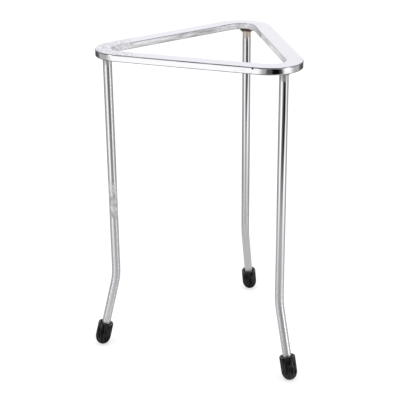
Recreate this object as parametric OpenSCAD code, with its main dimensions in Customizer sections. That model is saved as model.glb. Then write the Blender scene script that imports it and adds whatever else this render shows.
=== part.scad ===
// Laboratory tripod stand: a triangular ring bent from flat bar, carried by three bent rod legs.
// Each leg is butted under a corner of the ring, welded round its outer side, and wears a rubber foot.
// Millimetres, +Z up. The floor is z = 0, and the origin is the middle of the footprint's box.

/* [Stand] */
// Height from the floor to the top of the ring
stand_h = 220; // [190:1:250]

/* [Ring] */
// Side of the ring's triangle along the middle of the bar, with its corners taken as sharp
ring_side = 154; // [130:1:190]
// Width of the flat bar
bar_w = 11; // [9:0.5:14]
// Thickness of the flat bar
bar_t = 4.6; // [3:0.1:6]
// Corner bend radius at the middle of the bar
bar_bend_r = 16; // [12:0.5:22]
// Radius of the bar's eased edges
bar_edge_r = 0.6; // [0.3:0.1:1]

/* [Legs] */
// Diameter of the round rod
rod_d = 6; // [5:0.1:7]
// How far the rod stands back from the inner edge of the ring's corner
rod_setback = 0.1; // [0:0.1:1]
// Height at which the straight stretches of a leg would meet
bend_h = 54.3; // [40:0.1:80]
// Angle at which the lower stretch splays outward
splay = 13.5; // [8:0.25:20]
// Bend radius at the middle of the rod
rod_bend_r = 50; // [30:1:80]
// Chamfer on the rod's lower end
rod_chamfer = 0.5; // [0.2:0.1:1]

/* [Welds] */
// Leg length of the weld bead, along the rod and along the ring
bead_leg = 2.2; // [1.5:0.1:3]
// Part of a turn that the bead runs round the rod's outer side
bead_sweep = 250; // [180:5:270]
// Gap between the bead and the rod
bead_gap = 0.02; // [0.01:0.01:0.05]

/* [Feet] */
// Outside diameter of a rubber foot
foot_d = 11; // [10:0.5:14]
// Length of a rubber foot
foot_l = 17; // [14:0.5:24]
// Rubber under the rod's end
foot_floor = 4; // [3:0.5:6]
// Radius round the foot's lower edge
foot_round = 4.5; // [2:0.5:5]
// Radius round the outside of the foot's rim
rim_round = 0.5; // [0.3:0.1:0.7]
// Gap between the rod and the socket's wall
socket_gap = 0.05; // [0.02:0.01:0.1]
// How much wider than the rod the socket's mouth flares, on each side
mouth_flare = 1; // [0.5:0.1:1.2]
// Depth of the flared mouth
mouth_depth = 3; // [1:0.5:5]

/* [Hidden] */
$fn = 96;

// The three corners lie one third of a turn apart, the first at the back
third_turn = 360 / 3;
back_turn = 90;
left_turn = back_turn + third_turn;
right_turn = back_turn - third_turn;

// Ring: three straight sides, each ending where a corner bend begins
edge_flats = 3;
mid_apothem = ring_side / (2 * sqrt(3));
corner_centre_r = 2 * (mid_apothem - bar_bend_r);
straight_l = ring_side - 2 * sqrt(3) * bar_bend_r;
ring_under = stand_h - bar_t;

// Legs: the rod's inner side stands just back from the ring's inner edge
rod_r = rod_d / 2;
leg_r = corner_centre_r + bar_bend_r - bar_w / 2 + rod_setback + rod_r;
bend_reach = rod_bend_r * tan(splay / 2);
upright_l = ring_under - bend_h - bend_reach;

// Feet: lengths down the splayed stretch, from the end of the bend, that set the lowest edge on the floor
foot_r = foot_d / 2;
tread_r = foot_r - foot_round;
tread_l = (bend_h - tread_r * sin(splay) - foot_round) / cos(splay) - bend_reach;
tip_l = tread_l + foot_round;
rim_l = tip_l - foot_l;
rod_end_l = tip_l - foot_floor;
socket_r = rod_r + socket_gap;

// How far the stand reaches to the back and to the front of the ring's axis
tread_out = leg_r + (tread_l + bend_reach) * sin(splay);
foot_reach_back = tread_out + tread_r * cos(splay) + foot_round;
foot_reach_front = tread_out / 2 + tread_r * sqrt(1 - pow(sin(splay) / 2, 2)) + foot_round;
ring_reach_back = corner_centre_r + bar_bend_r + bar_w / 2;
ring_reach_front = mid_apothem + bar_w / 2;
reach_back = max(foot_reach_back, ring_reach_back);
reach_front = max(foot_reach_front, ring_reach_front);
axis_y = (reach_front - reach_back) / 2;

// Larger than the stand, for cutting planes
beyond = 2 * stand_h;

// Keeps what its children have ahead of the plane x = 0
module ahead_of_x() {
    intersection() {
        children();
        translate([0, -beyond / 2, -beyond / 2]) cube(beyond);
    }
}

// Keeps what its children have ahead of the plane z = 0
module ahead_of_z() {
    intersection() {
        children();
        translate([-beyond / 2, -beyond / 2, 0]) cube(beyond);
    }
}

// Section of the flat bar: a rectangle whose four edges are eased in a few flats
module bar_section() {
    polygon([
        for (corner = [0:3], step = [0:edge_flats])
            let (
                turned = 90 * (corner + step / edge_flats),
                side = corner == 0 || corner == 3 ? 1 : -1,
                face = corner < 2 ? 1 : -1
            )
            [
                side * (bar_w / 2 - bar_edge_r) + bar_edge_r * cos(turned),
                face * (bar_t / 2 - bar_edge_r) + bar_edge_r * sin(turned)
            ]
    ]);
}

// A straight run of the bar along +X
module bar_run(length) {
    rotate([90, 0, 90]) linear_extrude(height = length) bar_section();
}

// The bar bent on its edge round the origin, from the plane x = 0 on
module bar_bend() {
    ahead_of_x() rotate_extrude() translate([bar_bend_r, 0]) bar_section();
}

// The bar's bend, ended where it has turned through the corner
module ring_corner() {
    intersection() {
        bar_bend();
        rotate([0, 0, third_turn]) mirror([1, 0, 0])
            translate([0, -beyond / 2, -beyond / 2]) cube(beyond);
    }
}

// Half of the ring, followed along the bar from the middle of the front to the back corner
module half_ring() {
    lead = bar_w;
    ahead_of_x()
        translate([0, -mid_apothem, 0])
            union() {
                translate([-lead, 0, 0]) bar_run(lead + straight_l / 2);
                translate([straight_l / 2, bar_bend_r, 0]) {
                    ring_corner();
                    rotate([0, 0, third_turn]) translate([0, -bar_bend_r, 0]) {
                        bar_run(straight_l);
                        translate([straight_l, bar_bend_r, 0]) bar_bend();
                    }
                }
            }
}

// The ring, one length of flat bar bent at three corners and closed
module top_ring() {
    color("gainsboro")
        translate([0, axis_y, ring_under + bar_t / 2])
            union() {
                half_ring();
                mirror([1, 0, 0]) half_ring();
            }
}

// Places its children where a leg meets the ring, with +Z running down the leg and +X outward
module at_leg_top(turn) {
    translate([0, axis_y, ring_under])
        rotate([0, 0, turn])
            translate([leg_r, 0, 0])
                rotate([180, 0, 0])
                    children();
}

// Places its children at the centre of a leg's bend
module at_bend() {
    translate([rod_bend_r, 0, upright_l]) children();
}

// Places its children where the splayed stretch begins, with +Z running down it
module at_splay() {
    at_bend() rotate([0, splay, 0]) translate([-rod_bend_r, 0, 0]) children();
}

// The rod's bend: the slice of a full turn between the ends of the two straight stretches
module rod_bend() {
    ahead_of_z()
        intersection() {
            rotate([90, 0, 0]) rotate_extrude() translate([rod_bend_r, 0]) circle(r = rod_r);
            rotate([0, splay, 0]) mirror([0, 0, 1])
                translate([-beyond / 2, -beyond / 2, 0]) cube(beyond);
        }
}

// The splayed stretch of the rod, turned down to a chamfer at its end
module splayed_rod() {
    rotate_extrude()
        polygon([
            [0, 0],
            [rod_r, 0],
            [rod_r, rod_end_l - rod_chamfer],
            [rod_r - rod_chamfer, rod_end_l],
            [0, rod_end_l]
        ]);
}

// A leg, one length of round rod
module leg(turn) {
    color("silver")
        at_leg_top(turn)
            union() {
                cylinder(r = rod_r, h = upright_l);
                at_bend() rod_bend();
                at_splay() splayed_rod();
            }
}

// Section of the weld bead: the corner between rod and ring, filled to a slightly crowned face
module bead_section() {
    crown_r = sqrt(pow(2 * bead_leg, 2) + pow(bead_leg, 2));
    translate([rod_r + bead_gap, 0])
        intersection() {
            square(bead_leg);
            translate([-bead_leg, -bead_leg]) circle(r = crown_r);
        }
}

// The weld bead under the ring, round the outer side of a leg
module weld(turn) {
    color("darkgray")
        at_leg_top(turn)
            rotate([0, 0, -bead_sweep / 2])
                rotate_extrude(angle = bead_sweep) bead_section();
}

// Quarter of a disc, in the corner between +X and +Y
module quarter_disc(r) {
    intersection() {
        circle(r = r);
        square(r);
    }
}

// Half section of a foot's outside, from the rim down to the tread
module foot_outline() {
    translate([0, rim_l + rim_round]) square([foot_r, foot_l - rim_round - foot_round]);
    translate([0, rim_l]) square([foot_r - rim_round, foot_l - foot_round]);
    translate([0, tread_l - foot_round]) square([tread_r, 2 * foot_round]);
    translate([foot_r - rim_round, rim_l + rim_round]) mirror([0, 1]) quarter_disc(rim_round);
    translate([tread_r, tread_l]) quarter_disc(foot_round);
}

// Half section of the socket, with its flared mouth
module socket_outline() {
    above = rim_l - mouth_depth;
    translate([0, above]) square([socket_r, rod_end_l - above]);
    polygon([
        [0, above],
        [socket_r + 2 * mouth_flare, above],
        [socket_r, rim_l + mouth_depth],
        [0, rim_l + mouth_depth]
    ]);
}

// A rubber foot, moulded in one and pushed on over the rod's end
module foot(turn) {
    color("#1d1d1f")
        at_leg_top(turn) at_splay()
            rotate_extrude()
                difference() {
                    foot_outline();
                    socket_outline();
                }
}

module leg_back() { leg(back_turn); }
module leg_left() { leg(left_turn); }
module leg_right() { leg(right_turn); }
module weld_back() { weld(back_turn); }
module weld_left() { weld(left_turn); }
module weld_right() { weld(right_turn); }
module foot_back() { foot(back_turn); }
module foot_left() { foot(left_turn); }
module foot_right() { foot(right_turn); }

top_ring();
leg_back();
leg_left();
leg_right();
weld_back();
weld_left();
weld_right();
foot_back();
foot_left();
foot_right();
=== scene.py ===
import math

import bmesh
import bpy
from mathutils import Matrix, Vector


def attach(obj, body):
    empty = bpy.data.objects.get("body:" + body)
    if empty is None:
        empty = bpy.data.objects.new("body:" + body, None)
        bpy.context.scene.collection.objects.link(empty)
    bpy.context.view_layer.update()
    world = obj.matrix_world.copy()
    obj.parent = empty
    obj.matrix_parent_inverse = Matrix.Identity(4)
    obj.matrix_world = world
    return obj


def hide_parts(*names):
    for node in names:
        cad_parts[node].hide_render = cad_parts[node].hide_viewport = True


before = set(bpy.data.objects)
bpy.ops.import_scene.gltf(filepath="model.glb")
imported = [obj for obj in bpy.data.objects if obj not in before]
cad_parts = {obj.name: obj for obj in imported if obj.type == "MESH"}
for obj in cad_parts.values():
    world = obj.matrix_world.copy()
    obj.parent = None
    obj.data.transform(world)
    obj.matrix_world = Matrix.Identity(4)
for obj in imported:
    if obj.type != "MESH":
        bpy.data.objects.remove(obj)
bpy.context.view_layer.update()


# The view: a long lens about 0.75 m off, in front of the stand, to its right and above its ring.
# It looks down on the stand by 22 degrees.
view_place = Vector((0.245077, -0.662102, 0.382495))
view_turn = math.radians(21.630)
view_down = math.radians(21.777)
view_tilt = math.radians(-0.559)
lens = bpy.data.cameras.new("stand_view")
lens.lens = 94.130
lens.sensor_width = 36
lens.sensor_fit = "HORIZONTAL"
lens.clip_start = 0.01
lens.clip_end = 50
viewer = bpy.data.objects.new("stand_view", lens)
viewer.matrix_world = (
    Matrix.Translation(view_place)
    @ Matrix.Rotation(view_turn, 4, "Z")
    @ Matrix.Rotation(math.radians(90) - view_down, 4, "X")
    @ Matrix.Rotation(view_tilt, 4, "Z")
)
bpy.context.scene.collection.objects.link(viewer)
bpy.context.scene.camera = viewer


# The top ring: one length of 11 by 4.6 mm steel flat, bent on its edge round a former at three corners.
# Its ends are butt welded and ground flush, and the whole ring is chromium plated.
ring_axis = Vector((0, -0.018964, 0))
ring_under = 0.2154
bar_wide = 0.011
bar_thick = 0.0046
bar_ease = 0.00075
ring_side = 0.154
ring_bend = 0.016
corner_turns = {"back": 90, "left": 210, "right": 330}
corner_reach = ring_side / math.sqrt(3)
bend_centre_reach = corner_reach - 2 * ring_bend
inner_bend = ring_bend - bar_wide / 2


def level_way(turn):
    """The level direction at a number of degrees from +X."""
    return Vector((math.cos(math.radians(turn)), math.sin(math.radians(turn)), 0))


def outline_curve(name, places, closed):
    """A bare polyline, used as a centre line or as a section."""
    line = bpy.data.curves.new(name, "CURVE")
    line.dimensions = "3D"
    run = line.splines.new("POLY")
    run.points.add(len(places) - 1)
    for point, place in zip(run.points, places):
        point.co = (*place, 1)
    run.use_cyclic_u = closed
    piece = bpy.data.objects.new(name, line)
    bpy.context.scene.collection.objects.link(piece)
    return piece


def bending_tree():
    """Bends a straight-sided centre line to a radius and draws a section along it."""
    tree = bpy.data.node_groups.new("bent_stock", "GeometryNodeTree")
    tree.is_modifier = True
    sockets = tree.interface
    sockets.new_socket("Centre line", in_out="INPUT", socket_type="NodeSocketGeometry")
    sockets.new_socket("Section", in_out="INPUT", socket_type="NodeSocketObject")
    sockets.new_socket("Bend radius", in_out="INPUT", socket_type="NodeSocketFloat")
    sockets.new_socket("Bend steps", in_out="INPUT", socket_type="NodeSocketInt")
    sockets.new_socket("Step along", in_out="INPUT", socket_type="NodeSocketFloat")
    sockets.new_socket("Closed ends", in_out="INPUT", socket_type="NodeSocketBool")
    sockets.new_socket("Finish", in_out="INPUT", socket_type="NodeSocketMaterial")
    sockets.new_socket("Piece", in_out="OUTPUT", socket_type="NodeSocketGeometry")
    given = tree.nodes.new("NodeGroupInput").outputs
    join = tree.links.new

    bent = tree.nodes.new("GeometryNodeFilletCurve")
    bent.mode = "POLY"
    join(given["Centre line"], bent.inputs["Curve"])
    join(given["Bend radius"], bent.inputs["Radius"])
    join(given["Bend steps"], bent.inputs["Count"])

    stepped = tree.nodes.new("GeometryNodeResampleCurve")
    stepped.mode = "LENGTH"
    join(bent.outputs["Curve"], stepped.inputs["Curve"])
    join(given["Step along"], stepped.inputs["Length"])

    upright = tree.nodes.new("GeometryNodeSetCurveNormal")
    upright.mode = "MINIMUM_TWIST"
    join(stepped.outputs["Curve"], upright.inputs["Curve"])

    section = tree.nodes.new("GeometryNodeObjectInfo")
    join(given["Section"], section.inputs["Object"])

    drawn = tree.nodes.new("GeometryNodeCurveToMesh")
    join(upright.outputs["Curve"], drawn.inputs["Curve"])
    join(section.outputs["Geometry"], drawn.inputs["Profile Curve"])
    join(given["Closed ends"], drawn.inputs["Fill Caps"])

    smooth = tree.nodes.new("GeometryNodeSetShadeSmooth")
    join(drawn.outputs["Mesh"], smooth.inputs["Geometry"])
    realized = tree.nodes.new("GeometryNodeRealizeInstances")
    join(smooth.outputs["Geometry"], realized.inputs["Geometry"])
    finished = tree.nodes.new("GeometryNodeSetMaterial")
    join(realized.outputs["Geometry"], finished.inputs["Geometry"])
    join(given["Finish"], finished.inputs["Material"])
    result = tree.nodes.new("NodeGroupOutput")
    join(finished.outputs["Geometry"], result.inputs["Piece"])
    return tree


def bend_piece(name, tree, centre_line, settings, place=None):
    """Runs the tree on a centre line and returns the result as a plain mesh, in its place."""
    work = centre_line.modifiers.new("stock", "NODES")
    work.node_group = tree
    for item in tree.interface.items_tree:
        if item.in_out == "INPUT" and item.name in settings:
            work[item.identifier] = settings[item.name]
    looked_at = bpy.context.evaluated_depsgraph_get()
    mesh = bpy.data.meshes.new_from_object(centre_line.evaluated_get(looked_at), depsgraph=looked_at)
    mesh.name = name
    if place is not None:
        mesh.transform(place)
    piece = bpy.data.objects.new(name, mesh)
    bpy.context.scene.collection.objects.link(piece)
    bpy.data.objects.remove(centre_line)
    return piece


def chain(tree, kind, operation=None, *values):
    """Adds a node whose inputs are set from numbers or linked from other nodes' outputs."""
    node = tree.nodes.new(kind)
    if operation:
        node.operation = operation
    for socket, value in zip(node.inputs, values):
        if isinstance(value, bpy.types.NodeSocket):
            tree.links.new(value, socket)
        elif value is not None:
            socket.default_value = value
    return node


def maths(tree, operation, *values):
    return chain(tree, "ShaderNodeMath", operation, *values).outputs[0]


def product(tree, first, *others):
    """Multiplies two or more values, so that a mark shows only where all of them are."""
    for other in others:
        first = maths(tree, "MULTIPLY", first, other)
    return first


def greatest(tree, first, *others):
    """Takes the greatest of two or more values, so that a mark shows where any of them is."""
    for other in others:
        first = maths(tree, "MAXIMUM", first, other)
    return first


def added(tree, amount, share, under):
    """A share of an amount, on top of another value."""
    return maths(tree, "MULTIPLY_ADD", amount, share, under)


def dot(tree, first, second):
    return chain(tree, "ShaderNodeVectorMath", "DOT_PRODUCT", first, second).outputs["Value"]


def distance(tree, first, second):
    return chain(tree, "ShaderNodeVectorMath", "DISTANCE", first, second).outputs["Value"]


def length(tree, way):
    return chain(tree, "ShaderNodeVectorMath", "LENGTH", way).outputs["Value"]


def away_from(tree, place, start):
    return chain(tree, "ShaderNodeVectorMath", "SUBTRACT", place, start).outputs[0]


def axes_of(tree, place):
    return chain(tree, "ShaderNodeSeparateXYZ", None, place).outputs


def normal_of(tree):
    return chain(tree, "ShaderNodeNewGeometry").outputs["Normal"]


def ramp(tree, value, low, high, out_low=0.0, out_high=1.0):
    """Eases a value between two marks."""
    node = tree.nodes.new("ShaderNodeMapRange")
    node.interpolation_type = "SMOOTHSTEP"
    tree.links.new(value, node.inputs["Value"])
    node.inputs["From Min"].default_value = low
    node.inputs["From Max"].default_value = high
    node.inputs["To Min"].default_value = out_low
    node.inputs["To Max"].default_value = out_high
    return node.outputs["Result"]


def window(tree, value, start, full, fade, end):
    """Rises from 0 to 1 between the first two marks and falls back between the last two."""
    return product(tree, ramp(tree, value, start, full), ramp(tree, value, end, fade))


def stretched(tree, place, stretch):
    """Scales a place along each axis, which draws a pattern out along the axes with small numbers."""
    return chain(tree, "ShaderNodeVectorMath", "MULTIPLY", place, stretch).outputs[0]


def clouds(tree, place, per_metre, detail=2.0):
    """Soft noise from 0 to 1 with a number of lumps to the metre."""
    node = tree.nodes.new("ShaderNodeTexNoise")
    tree.links.new(place, node.inputs["Vector"])
    node.inputs["Scale"].default_value = per_metre
    node.inputs["Detail"].default_value = detail
    return node.outputs["Fac"]


def pits(tree, place, per_metre, size):
    """Small round pits scattered at random: 1 in a pit and 0 between them."""
    node = tree.nodes.new("ShaderNodeTexVoronoi")
    tree.links.new(place, node.inputs["Vector"])
    node.inputs["Scale"].default_value = per_metre
    return ramp(tree, node.outputs["Distance"], size, size * 0.5)


def blend(tree, amount, first, second):
    """Mixes two colours, each a colour or another node's output."""
    node = tree.nodes.new("ShaderNodeMix")
    node.data_type = "RGBA"
    tree.links.new(amount, node.inputs["Factor"])
    for socket, colour in ((node.inputs[6], first), (node.inputs[7], second)):
        if isinstance(colour, bpy.types.NodeSocket):
            tree.links.new(colour, socket)
        else:
            socket.default_value = (*colour, 1)
    return node.outputs[2]


def layered(tree, colour, *layers):
    """Lays colours over a first one in turn, each where its mark is."""
    for mark, tint in layers:
        colour = blend(tree, mark, colour, tint)
    return colour


def relief(tree, height, depth, under=None):
    """Turns a height from 0 to 1 into dents of a depth in metres, on top of other relief."""
    node = tree.nodes.new("ShaderNodeBump")
    node.inputs["Distance"].default_value = depth
    tree.links.new(height, node.inputs["Height"])
    if under is not None:
        tree.links.new(under, node.inputs["Normal"])
    return node.outputs["Normal"]


def bare_finish(name, metallic):
    """A material with one shader, and the place on the stand that its patterns are drawn from."""
    material = bpy.data.materials.new(name)
    material.use_nodes = True
    skin = material.node_tree.nodes["Principled BSDF"]
    if metallic is not None:
        skin.inputs["Metallic"].default_value = metallic
    where = material.node_tree.nodes.new("ShaderNodeTexCoord").outputs["Object"]
    return material, material.node_tree, skin, where


def bar_section_points():
    """The bar's section, with its edges eased and a point just inside each flat's end."""
    steps = 6
    reach = 0.00006
    points = []
    for corner in range(4):
        side = 1 if corner in (0, 3) else -1
        face = 1 if corner < 2 else -1
        centre = Vector((side * (bar_wide / 2 - bar_ease), face * (bar_thick / 2 - bar_ease), 0))
        for step in range(-1, steps + 2):
            turned = 90 * (corner + min(max(step / steps, 0), 1))
            past = -reach if step < 0 else reach if step > steps else 0
            points.append(centre + bar_ease * level_way(turned) + past * level_way(turned + 90))
    return points


ring_chrome, tree, plate, where = bare_finish("ring_chrome", 1.0)
normal = normal_of(tree)
facing = axes_of(tree, normal)
steep = maths(tree, "ABSOLUTE", facing[2])
axes = axes_of(tree, where)
flat_place = stretched(tree, away_from(tree, where, ring_axis), (1, 1, 0))
outward = dot(tree, normal, flat_place)

# The bar was stretched at the bends, so the plate on its top is mottled there, most of all at the left one.
at_bends = ramp(tree, length(tree, flat_place), 0.054, 0.060)
left_end = ramp(tree, axes[0], -0.030, -0.040)
patches = ramp(tree, clouds(tree, where, 90.0, 3.0), 0.42, 0.60, 0.0, 0.45)
flat_top = ramp(tree, facing[2], 0.90, 0.98)
bend_wear = product(tree, at_bends, greatest(tree, patches, left_end), flat_top)

# Inside each bend the bar was squeezed, and the plate is dull. At the back it is dull furthest out.
dull_reach = {"back": 0.0225, "left": 0.0152, "right": 0.0152}
on_walls = ramp(tree, steep, 0.9, 0.4, 0.3, 1.0)
bend_insides = []
for side, turn in corner_turns.items():
    reach = distance(tree, flat_place, bend_centre_reach * level_way(turn))
    by_bend = ramp(tree, reach, dull_reach[side], inner_bend + 0.0005)
    bend_insides.append(product(tree, by_bend, on_walls))
inside_bends = greatest(tree, *bend_insides)

# Knocks along the lower half of the front wall, to the right of its middle.
knocks = product(
    tree,
    ramp(tree, axes[0], 0.010, 0.016),
    ramp(tree, axes[0], 0.048, 0.044, 0.0, 0.35),
    ramp(tree, axes[2], 0.2184, 0.2174),
    ramp(tree, facing[1], -0.8, -0.95),
    ramp(tree, clouds(tree, where, 260.0), 0.46, 0.56),
)
worn = greatest(tree, bend_wear, inside_bends, knocks)
mottle = product(tree, ramp(tree, clouds(tree, where, 440.0, 3.0), 0.46, 0.60), worn)
fainter_inside = ramp(tree, inside_bends, 0.0, 1.0, 1.0, 0.6)
fainter_on_top = ramp(tree, steep, 0.90, 0.98, 1.0, 0.85)
fine_pits = product(tree, pits(tree, where, 620.0, 0.50), fainter_inside, fainter_on_top, worn)

# The eased edges carry a painted dark reflection, which makes them darker than the flats, most on the
# outside and round the back bend.
eased = window(tree, steep, 0.12, 0.35, 0.90, 0.98)
unevenly = ramp(tree, clouds(tree, where, 70.0, 3.0), 0.30, 0.60, 0.55, 1.0)
outer_edge = ramp(tree, outward, -0.010, 0.010, 0.25, 1.0)
back_bend = ramp(tree, axes[1], 0.030, 0.036, 0.0, 0.70)
painted_dark_edges = product(tree, eased, unevenly, greatest(tree, outer_edge, back_bend))

# Rolling left light and dark streaks along the inner walls. There is a nick in the front wall's upper edge,
# near the right corner, and the lower edge is dark brown and duller by the back weld.
inner_wall = product(tree, ramp(tree, steep, 0.35, 0.12), ramp(tree, outward, 0.0, -0.010))
rolled = clouds(tree, stretched(tree, where, (0.10, 0.10, 1)), 620.0, 3.0)
light_streaks = product(tree, inner_wall, ramp(tree, rolled, 0.44, 0.38))
dark_streaks = product(tree, inner_wall, ramp(tree, rolled, 0.50, 0.58))
nick_place = (0.0453, -0.0689, 0.2192)
nick = ramp(tree, distance(tree, where, nick_place), 0.00080, 0.00058)
dark_edge_place = (0, 0.0495, ring_under + 0.0002)
near_back_weld = ramp(tree, distance(tree, where, dark_edge_place), 0.0048, 0.0036)
low_edge = ramp(tree, axes[2], ring_under + 0.0011, ring_under + 0.0005, 0.0, 0.9)
dark_edge_at_back_weld = product(tree, near_back_weld, low_edge)

between_pits = product(tree, inside_bends, ramp(tree, fine_pits, 0.9, 0.1))
colour = layered(
    tree,
    (0.80, 0.80, 0.82),
    (bend_wear, (0.88, 0.88, 0.89)),
    (mottle, (0.60, 0.60, 0.62)),
    (light_streaks, (0.96, 0.96, 0.97)),
    (dark_streaks, (0.58, 0.58, 0.60)),
    (fine_pits, (0.50, 0.49, 0.52)),
    (between_pits, (0.93, 0.92, 0.95)),
    # The painted dark reflection on the eased edges.
    (painted_dark_edges, (0.17, 0.165, 0.175)),
    (dark_edge_at_back_weld, (0.10, 0.065, 0.05)),
    (nick, (0.02, 0.02, 0.02)),
)
tree.links.new(colour, plate.inputs["Base Color"])
tree.links.new(ramp(tree, inside_bends, 0.0, 1.0, 1.0, 0.25), plate.inputs["Metallic"])
dull = added(tree, worn, 0.13, 0.04)
dull = added(tree, inside_bends, 0.22, dull)
dull = added(tree, dark_edge_at_back_weld, 0.4, dull)
tree.links.new(dull, plate.inputs["Roughness"])
waves = relief(tree, clouds(tree, where, 130.0), 0.00006)
grain = relief(tree, mottle, 0.00006, waves)
pitted = relief(tree, maths(tree, "SUBTRACT", 1.0, fine_pits), 0.00004, grain)
tree.links.new(pitted, plate.inputs["Normal"])

bent_stock = bending_tree()
bar_section = outline_curve("bar_section", bar_section_points(), True)
bar_middle = Vector((0, 0, ring_under + bar_thick / 2))
corners = [ring_axis + corner_reach * level_way(turn) + bar_middle for turn in corner_turns.values()]
top_ring = bend_piece(
    "plated_ring",
    bent_stock,
    outline_curve("ring_line", corners, True),
    {
        "Section": bar_section,
        "Bend radius": ring_bend,
        "Bend steps": 48,
        "Step along": 0.0008,
        "Finish": ring_chrome,
    },
)
bpy.data.objects.remove(bar_section)
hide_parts("top_ring")
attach(top_ring, "root")


# The legs: three lengths of 6 mm bright drawn steel rod, plated after welding.
# Each stands square under a corner of the ring and is bent outward once, 54 mm above the floor.
rod_thick = 0.006
leg_out = 0.070512
bend_height = 0.0543
splay = math.radians(13.5)
rod_bend = 0.050
rod_length_below = 0.051475
rod_steps_round = 48
knee = Vector((0, 0, bend_height - ring_under))
down_rod = Vector((math.sin(splay), 0, -math.cos(splay)))


def leg_frame(turn):
    """The place where a leg meets the ring, with its axes turned so that +X is outward."""
    return (
        Matrix.Translation(ring_axis + Vector((0, 0, ring_under)))
        @ Matrix.Rotation(math.radians(turn), 4, "Z")
        @ Matrix.Translation((leg_out, 0, 0))
    )


rod_chrome, tree, plate, where = bare_finish("rod_chrome", None)
axes = axes_of(tree, where)
left_leg = ramp(tree, axes[0], -0.020, -0.040)
back_leg = ramp(tree, axes[1], 0.020, 0.030)
drawn_lines = clouds(tree, stretched(tree, where, (1, 1, 0.02)), 1400.0, 3.0)
blotches = clouds(tree, stretched(tree, where, (1, 1, 0.5)), 460.0, 3.0)

# The top of each rod, right under the ring, is duller and darker in blotches: painted shade from the ring.
# The left leg is a little duller all along and has a worn patch half way down. The back leg is pale and
# dull below its bend, and chafed above its foot.
shade_and_dulling_under_ring = ramp(tree, axes[2], 0.2075, 0.2110)
left_top = product(tree, left_leg, ramp(tree, axes[2], 0.105, 0.150))
worn_patch = product(tree, window(tree, axes[2], 0.0975, 0.1020, 0.1245, 0.1290), left_leg)
chafed = product(tree, ramp(tree, axes[2], 0.026, 0.021), back_leg)
back_low = product(tree, ramp(tree, axes[2], 0.068, 0.042), back_leg)
# Besides real wear, this carries the painted shade at the top of each rod.
worn = greatest(tree, shade_and_dulling_under_ring, worn_patch, chafed)
patchy = product(tree, worn, ramp(tree, blotches, 0.38, 0.58))
rubbed_bright = product(tree, worn_patch, ramp(tree, blotches, 0.60, 0.40))

# Rust from its weld stains the top of the back leg. Right under the ring the leg has a dark brown line.
ragged_height = added(tree, blotches, 0.005, axes[2])
stain_fade = ramp(tree, ragged_height, ring_under - 0.0070, ring_under - 0.0010, 0.0, 0.85)
stain = product(tree, stain_fade, back_leg)
dark_line_under_ring = product(tree, ramp(tree, axes[2], ring_under - 0.0022, ring_under - 0.0008), back_leg)

colour = layered(
    tree,
    (0.76, 0.76, 0.78),
    (patchy, (0.54, 0.54, 0.55)),
    (rubbed_bright, (0.86, 0.86, 0.88)),
    (back_low, (0.93, 0.93, 0.94)),
    (stain, (0.78, 0.66, 0.54)),
    (dark_line_under_ring, (0.12, 0.07, 0.055)),
)
tree.links.new(colour, plate.inputs["Base Color"])
bare = greatest(
    tree,
    stain,
    dark_line_under_ring,
    product(tree, worn_patch, 0.7),
    product(tree, shade_and_dulling_under_ring, 0.65),
    product(tree, left_top, 0.08),
    product(tree, back_leg, 0.16),
)
tree.links.new(ramp(tree, bare, 0.0, 1.0, 1.0, 0.35), plate.inputs["Metallic"])
dull = added(tree, left_leg, 0.13, 0.05)
dull = greatest(tree, dull, ramp(tree, axes[2], 0.105, 0.055, 0.05, 0.23))
dull = added(tree, back_low, 0.12, dull)
dull = added(tree, worn_patch, 0.15, dull)
dull = added(tree, patchy, 0.16, dull)
dull = added(tree, stain, 0.25, dull)
tree.links.new(dull, plate.inputs["Roughness"])

# The fine lines that drawing leaves along the rod stretch its reflections up and down.
spoiled = greatest(tree, back_low, worn_patch)
tree.links.new(maths(tree, "SUBTRACT", 1.0, spoiled), plate.inputs["Anisotropic"])
up_rod = chain(tree, "ShaderNodeCombineXYZ", None, 0.0, 0.0, 1.0).outputs[0]
tree.links.new(up_rod, plate.inputs["Tangent"])
lines = relief(tree, drawn_lines, 0.000008)
tree.links.new(relief(tree, product(tree, blotches, worn), 0.00018, lines), plate.inputs["Normal"])

for side, turn in corner_turns.items():
    round_section = outline_curve(
        "rod_section",
        [rod_thick / 2 * level_way(360 * k / rod_steps_round) for k in range(rod_steps_round)],
        True,
    )
    rod_line = [Vector((0, 0, 0)), knee, knee + rod_length_below * down_rod]
    leg = bend_piece(
        "rod_" + side,
        bent_stock,
        outline_curve("leg_line", rod_line, False),
        {
            "Section": round_section,
            "Bend radius": rod_bend,
            "Bend steps": 24,
            "Step along": 0.001,
            "Closed ends": True,
            "Finish": rod_chrome,
        },
        leg_frame(turn),
    )
    bpy.data.objects.remove(round_section)
    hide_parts("leg_" + side)
    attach(leg, "root")


# The weld beads: a fillet of filler metal laid by hand under the ring, round the outer side of each leg.
# The plating over it is rough and dull, and at the back it has rusted through.
bead_leg = 0.0022
bead_gap = 0.00002
bead_sweep = 250
bead_steps = 60
crown_steps = 8

weld_metal, tree, plate, where = bare_finish("weld_metal", None)
axes = axes_of(tree, where)
grains = clouds(tree, where, 1100.0, 4.0)
rusty = product(tree, ramp(tree, axes[1], 0.020, 0.030), ramp(tree, grains, 0.30, 0.52))
colour = layered(
    tree,
    (0.66, 0.64, 0.63),
    (grains, (0.44, 0.42, 0.41)),
    (rusty, (0.24, 0.12, 0.085)),
)
tree.links.new(colour, plate.inputs["Base Color"])
tree.links.new(ramp(tree, rusty, 0.0, 1.0, 1.0, 0.2), plate.inputs["Metallic"])
tree.links.new(ramp(tree, grains, 0.3, 0.7, 0.28, 0.50), plate.inputs["Roughness"])
tree.links.new(relief(tree, grains, 0.00015), plate.inputs["Normal"])

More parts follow.
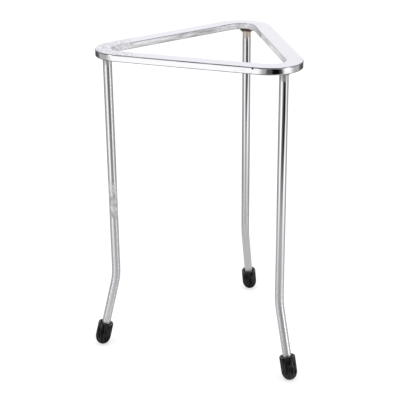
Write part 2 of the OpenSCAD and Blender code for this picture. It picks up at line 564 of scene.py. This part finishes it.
crown = math.hypot(2 * bead_leg, bead_leg)
crown_start = math.degrees(math.asin(bead_leg / crown))
crown_turn = 90 - 2 * crown_start
crown_centre = Vector((-bead_leg, -bead_leg, 0))
bead_inside = rod_thick / 2 + bead_gap
for side, turn in corner_turns.items():
    bead_points = [Vector((0, 0, 0))]
    for k in range(crown_steps + 1):
        bead_points.append(crown_centre + crown * level_way(crown_start + crown_turn * k / crown_steps))
    bead_section = outline_curve("bead_section", bead_points, True)
    arc = [bead_inside * level_way(bead_sweep * (k / bead_steps - 0.5)) for k in range(bead_steps + 1)]
    bead = bend_piece(
        "bead_" + side,
        bent_stock,
        outline_curve("bead_line", arc, False),
        {
            "Section": bead_section,
            "Bend radius": 0.0,
            "Bend steps": 1,
            "Step along": 0.0002,
            "Closed ends": True,
            "Finish": weld_metal,
        },
        leg_frame(turn),
    )
    bpy.data.objects.remove(bead_section)
    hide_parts("weld_" + side)
    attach(bead, "root")


# The feet: three straight ferrules moulded in black rubber, with a long rounded toe and a flared mouth.
# Each is pushed on over the end of its rod and holds by its own stretch.
foot_half = 0.0055
foot_long = 0.017
foot_tread = 0.0010
foot_round = 0.0045
toe_long = 0.0065
foot_floor = 0.004
rim_round = 0.0005
socket_half = 0.00305
mouth_half = 0.00405
mouth_deep = 0.003
crease_ease = 0.00003
foot_past_knee = 0.055475
foot_steps_round = 64

foot_rubber, tree, skin, where = bare_finish("foot_rubber", 0.0)
facing = axes_of(tree, normal_of(tree))
bloom = clouds(tree, where, 350.0, 4.0)
specks = clouds(tree, where, 2600.0)
mould_lines = clouds(tree, stretched(tree, where, (1, 1, 0.16)), 900.0, 3.0)

# The rims carry a painted sheen of glancing light: grey where they face up, strongest at their left and
# right sides as seen from the front.
rim_from_knee = Vector((0.01, 0, -0.0375))
rim_sideways = (0.935, 0.355, 0)
rim_sides = []
for turn in corner_turns.values():
    rim_middle = leg_frame(turn) @ (knee + rim_from_knee)
    from_rim = away_from(tree, where, rim_middle)
    to_side = maths(tree, "ABSOLUTE", dot(tree, from_rim, rim_sideways))
    near_rim = ramp(tree, length(tree, from_rim), 0.016, 0.014)
    rim_sides.append(product(tree, ramp(tree, to_side, 0.0026, 0.0046), near_rim))
sheen_at_sides = ramp(tree, greatest(tree, *rim_sides), 0.0, 1.0, 0.08, 1.0)
facing_up = ramp(tree, facing[2], 0.35, 0.90)
painted_rim_sheen = product(tree, facing_up, ramp(tree, bloom, 0.30, 0.60, 0.4, 1.0), sheen_at_sides)

# The rubber is black and satin, with lines down it from the mould that stretch its gloss.
streaks = ramp(tree, mould_lines, 0.40, 0.66)
colour = layered(
    tree,
    (0.0015, 0.0015, 0.0017),
    (streaks, (0.0105, 0.0105, 0.011)),
    # The painted sheen on the rims.
    (painted_rim_sheen, (0.13, 0.13, 0.13)),
)
tree.links.new(colour, skin.inputs["Base Color"])
tree.links.new(ramp(tree, bloom, 0.3, 0.7, 0.36, 0.48), skin.inputs["Roughness"])
tree.links.new(ramp(tree, mould_lines, 0.37, 0.66, 0.07, 0.58), skin.inputs["Specular IOR Level"])
skin.inputs["Anisotropic"].default_value = 0.95
up_foot = chain(tree, "ShaderNodeCombineXYZ", None, 0.0, 0.0, 1.0).outputs[0]
tree.links.new(up_foot, skin.inputs["Tangent"])
tree.links.new(relief(tree, specks, 0.00005), skin.inputs["Normal"])


def foot_outline():
    """Half the foot's section, as radius and height, from its tread's middle to its socket's floor."""
    tread_steps = 3
    toe_steps = 16
    wall_steps = 12
    rim_steps = 6
    points = [(foot_tread * k / tread_steps, 0) for k in range(tread_steps + 1)]
    for k in range(1, toe_steps + 1):
        at = math.radians(90 * k / toe_steps)
        points.append((foot_tread + foot_round * math.sin(at), toe_long * (1 - math.cos(at))))
    wall = foot_long - rim_round - toe_long
    points += [(foot_half, toe_long + wall * k / wall_steps) for k in range(1, wall_steps + 1)]
    for k in range(1, rim_steps + 1):
        at = math.radians(90 * k / rim_steps)
        inward = rim_round * (1 - math.cos(at))
        below = rim_round * (1 - math.sin(at))
        points.append((foot_half - inward, foot_long - below))
    points += [
        (mouth_half, foot_long),
        (mouth_half - crease_ease, foot_long - crease_ease),
        (socket_half + crease_ease, foot_long - mouth_deep + crease_ease),
        (socket_half, foot_long - mouth_deep - crease_ease),
        (socket_half, foot_floor + crease_ease),
        (socket_half - crease_ease, foot_floor),
        (0, foot_floor),
    ]
    return points


def turned_piece(name, outline, steps, place, material):
    """Turns an outline round the Z axis into a closed mesh and puts it in place."""
    form = bmesh.new()
    rings = []
    for radius, height in outline:
        middle = Vector((0, 0, height))
        if radius == 0:
            around = [middle]
        else:
            around = [middle + radius * level_way(360 * k / steps) for k in range(steps)]
        rings.append([form.verts.new(point) for point in around])
    for low_ring, high_ring in zip(rings, rings[1:]):
        for k in range(steps):
            n = (k + 1) % steps
            if len(low_ring) == 1:
                form.faces.new((low_ring[0], high_ring[k], high_ring[n]))
            elif len(high_ring) == 1:
                form.faces.new((low_ring[k], high_ring[0], low_ring[n]))
            else:
                form.faces.new((low_ring[k], high_ring[k], high_ring[n], low_ring[n]))
    bmesh.ops.recalc_face_normals(form, faces=form.faces)
    mesh = bpy.data.meshes.new(name)
    form.to_mesh(mesh)
    form.free()
    mesh.shade_smooth()
    mesh.transform(place)
    mesh.materials.append(material)
    piece = bpy.data.objects.new(name, mesh)
    bpy.context.scene.collection.objects.link(piece)
    return piece


for side, turn in corner_turns.items():
    foot_frame = (
        leg_frame(turn)
        @ Matrix.Translation(knee + foot_past_knee * down_rod)
        @ Matrix.Rotation(-splay, 4, "Y")
    )
    foot = turned_piece("ferrule_" + side, foot_outline(), foot_steps_round, foot_frame, foot_rubber)
    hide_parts("foot_" + side)
    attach(foot, "root")


# The sheet: a wide white paper under the stand, which takes its soft shadow.
# Only glossy rays see what the plating mirrors of it: painted pools of light to the left and right of the
# front, painted dimmer areas behind, and a painted dark shadow over its front.
toward = Vector((0.355, -0.935, 0))
aside = Vector((0.935, 0.355, 0))
sheet_half = 6


def degrees_window(tree, value, *marks):
    """A window on an angle, with its marks in degrees."""
    return window(tree, value, *(math.radians(mark) for mark in marks))


def chosen(tree, ray, other, shown):
    """Shows one kind of ray its own shader, and every other kind the other one."""
    return chain(tree, "ShaderNodeMixShader", None, ray, other, shown).outputs[0]


sheet_white = bpy.data.materials.new("sheet_white")
sheet_white.use_nodes = True
tree = sheet_white.node_tree
tree.nodes.clear()
path = tree.nodes.new("ShaderNodeLightPath").outputs
from_axis = away_from(tree, tree.nodes.new("ShaderNodeTexCoord").outputs["Object"], ring_axis)
ahead = dot(tree, from_axis, toward)
across = dot(tree, from_axis, aside)
away = length(tree, from_axis)
bearing = maths(tree, "ARCTAN2", across, ahead)
turned_off = maths(tree, "ABSOLUTE", bearing)

# Painted pools of light to the left and right of the front, the right one turned more to the front close to
# the stand.
near_bearing = maths(tree, "ADD", bearing, ramp(tree, away, 0.17, 0.10, 0.0, 0.24))
left_lobe = degrees_window(tree, bearing, -80, -52, -37, -20)
right_lobe = degrees_window(tree, near_bearing, 24, 52, 64, 88)
painted_light_pools = product(
    tree,
    maths(tree, "ADD", left_lobe, right_lobe),
    ramp(tree, away, 0.12, 0.50, 0.30, 0.98),
    ramp(tree, away, 0.55, 0.90, 1.0, 0.715),
)
seen = maths(tree, "ADD", painted_light_pools, 0.51)

# Painted dimmer areas behind the stand: close to it, and far off to the left and right. Straight behind and
# far off the paper is painted lighter.
far_dark = degrees_window(tree, turned_off, 102, 124, 142, 158)
far_dark = product(tree, far_dark, ramp(tree, away, 0.45, 0.80, 0.0, 0.82))
seen = product(tree, seen, maths(tree, "SUBTRACT", 1.0, far_dark))
behind = ramp(tree, turned_off, math.radians(96), math.radians(120))
near_behind = product(
    tree,
    behind,
    ramp(tree, away, 0.70, 0.45, 0.0, 0.45),
    ramp(tree, away, 0.17, 0.28),
)
seen = product(tree, seen, maths(tree, "SUBTRACT", 1.0, near_behind))
straight_behind = ramp(tree, turned_off, math.radians(146), math.radians(158))
far_behind = product(tree, straight_behind, ramp(tree, away, 0.60, 0.80))
seen = added(tree, far_behind, 0.26, seen)

# The painted dark shadow over the front, with soft edges, greyer towards its left and right ends.
left_edge = added(tree, ahead, -0.15, across)
painted_front_shadow = product(
    tree,
    ramp(tree, ahead, 0.27, 0.52),
    ramp(tree, across, 0.71, 0.55),
    ramp(tree, left_edge, -0.37, -0.21),
)
left_level = ramp(tree, across, 0.05, 0.20, 0.11, 0.004)
right_level = ramp(tree, across, 0.42, 0.60, 0.0, 0.10)
painted_front_shadow_level = maths(tree, "ADD", left_level, right_level)
seen = product(tree, seen, maths(tree, "SUBTRACT", 1.0, painted_front_shadow))
seen = added(tree, painted_front_shadow, painted_front_shadow_level, seen)

paper = tree.nodes.new("ShaderNodeBsdfDiffuse")
paper.inputs["Color"].default_value = (0.75, 0.75, 0.75, 1)
glow = tree.nodes.new("ShaderNodeEmission")
tree.links.new(product(tree, path["Is Camera Ray"], 0.55), glow.inputs["Strength"])
lit_paper = chain(tree, "ShaderNodeAddShader", None, paper.outputs[0], glow.outputs[0]).outputs[0]
mirrored = tree.nodes.new("ShaderNodeEmission")
tree.links.new(seen, mirrored.inputs["Strength"])
shown = chosen(tree, path["Is Glossy Ray"], lit_paper, mirrored.outputs[0])
surface = tree.nodes.new("ShaderNodeOutputMaterial")
tree.links.new(shown, surface.inputs["Surface"])

mesh = bpy.data.meshes.new("white_sheet")
mesh.from_pydata(
    [
        (-sheet_half, -sheet_half, 0),
        (sheet_half, -sheet_half, 0),
        (sheet_half, sheet_half, 0),
        (-sheet_half, sheet_half, 0),
    ],
    [],
    [(0, 1, 2, 3)],
)
mesh.materials.append(sheet_white)
sheet = bpy.data.objects.new("white_sheet", mesh)
bpy.context.scene.collection.objects.link(sheet)


# The lamps: two soft boxes, one to the left and one to the right of the front.
# Each hangs above the stand and is turned down to its middle.
box_out = 0.62
box_height = 0.52
box_drop = 0.40
box_wide = 0.30
box_tall = 0.40
box_level = 1.3
for name, turn in (("soft_box_left", -60), ("soft_box_right", 60)):
    to_box = box_out * (Matrix.Rotation(math.radians(turn), 3, "Z") @ toward)
    lamp = bpy.data.lights.new(name, "AREA")
    lamp.shape = "RECTANGLE"
    lamp.size = box_wide
    lamp.size_y = box_tall
    lamp.energy = box_level * math.pi * box_wide * box_tall
    box = bpy.data.objects.new(name, lamp)
    aim = (to_box + Vector((0, 0, box_drop))).to_track_quat("Z", "Y").to_matrix().to_4x4()
    box.matrix_world = Matrix.Translation(ring_axis + to_box + Vector((0, 0, box_height))) @ aim
    box.visible_camera = False
    bpy.context.scene.collection.objects.link(box)


# The room: a white one, which lights the stand softly from all round.
# Only glossy rays see what the plating mirrors of it: a pale wall behind with a bright patch above it,
# a dimmer wall in front with two narrow lights, and a pale ceiling with a dark patch over the front.
def way_up(level, rise):
    """A direction that rises from a level one by a number of degrees."""
    rise = math.radians(rise)
    return (math.cos(rise) * level + Vector((0, 0, math.sin(rise)))).normalized()


sky = bpy.data.worlds.new("soft_light")
bpy.context.scene.world = sky
sky.use_nodes = True
tree = sky.node_tree
tree.nodes.clear()
path = tree.nodes.new("ShaderNodeLightPath").outputs
heading = tree.nodes.new("ShaderNodeTexCoord").outputs["Generated"]
height = axes_of(tree, heading)[2]
bearing = maths(tree, "ARCTAN2", dot(tree, heading, aside), dot(tree, heading, toward))
bright_patch = ramp(tree, dot(tree, heading, way_up(-toward, 35)), 0.66, 0.88, 0.02, 1.06)
turned_off = maths(tree, "ABSOLUTE", bearing)
walls = ramp(tree, turned_off, math.radians(80), math.radians(104), 0.46, 0.85)
front_off = maths(tree, "ABSOLUTE", maths(tree, "SUBTRACT", bearing, math.radians(10)))
walls = product(tree, walls, ramp(tree, front_off, math.radians(10), math.radians(26), 0.45, 1.0))
walls = added(tree, degrees_window(tree, bearing, -70, -65, -55, -50), 3.0, walls)
walls = added(tree, degrees_window(tree, bearing, 50, 55, 65, 70), 5.0, walls)
walls = product(tree, walls, ramp(tree, height, 0.40, 0.26))
ceiling = product(
    tree,
    ramp(tree, dot(tree, heading, way_up(toward, 60)), 0.93, 0.86, 0.0, 0.62),
    ramp(tree, height, 0.26, 0.40),
)

mirrored_level = greatest(tree, bright_patch, walls, ceiling)
light = chain(tree, "ShaderNodeBackground", None, (0.98, 0.98, 1, 1), 0.7).outputs[0]
mirrored = chain(tree, "ShaderNodeBackground", None, (0.97, 0.955, 1, 1), mirrored_level).outputs[0]
plain_white = chain(tree, "ShaderNodeBackground", None, (1, 1, 1, 1), 1.0).outputs[0]
shown = chosen(tree, path["Is Glossy Ray"], light, mirrored)
shown = chosen(tree, path["Is Camera Ray"], shown, plain_white)
surface = tree.nodes.new("ShaderNodeOutputWorld")
tree.links.new(shown, surface.inputs["Surface"])

bpy.context.scene.view_settings.view_transform = "Standard"
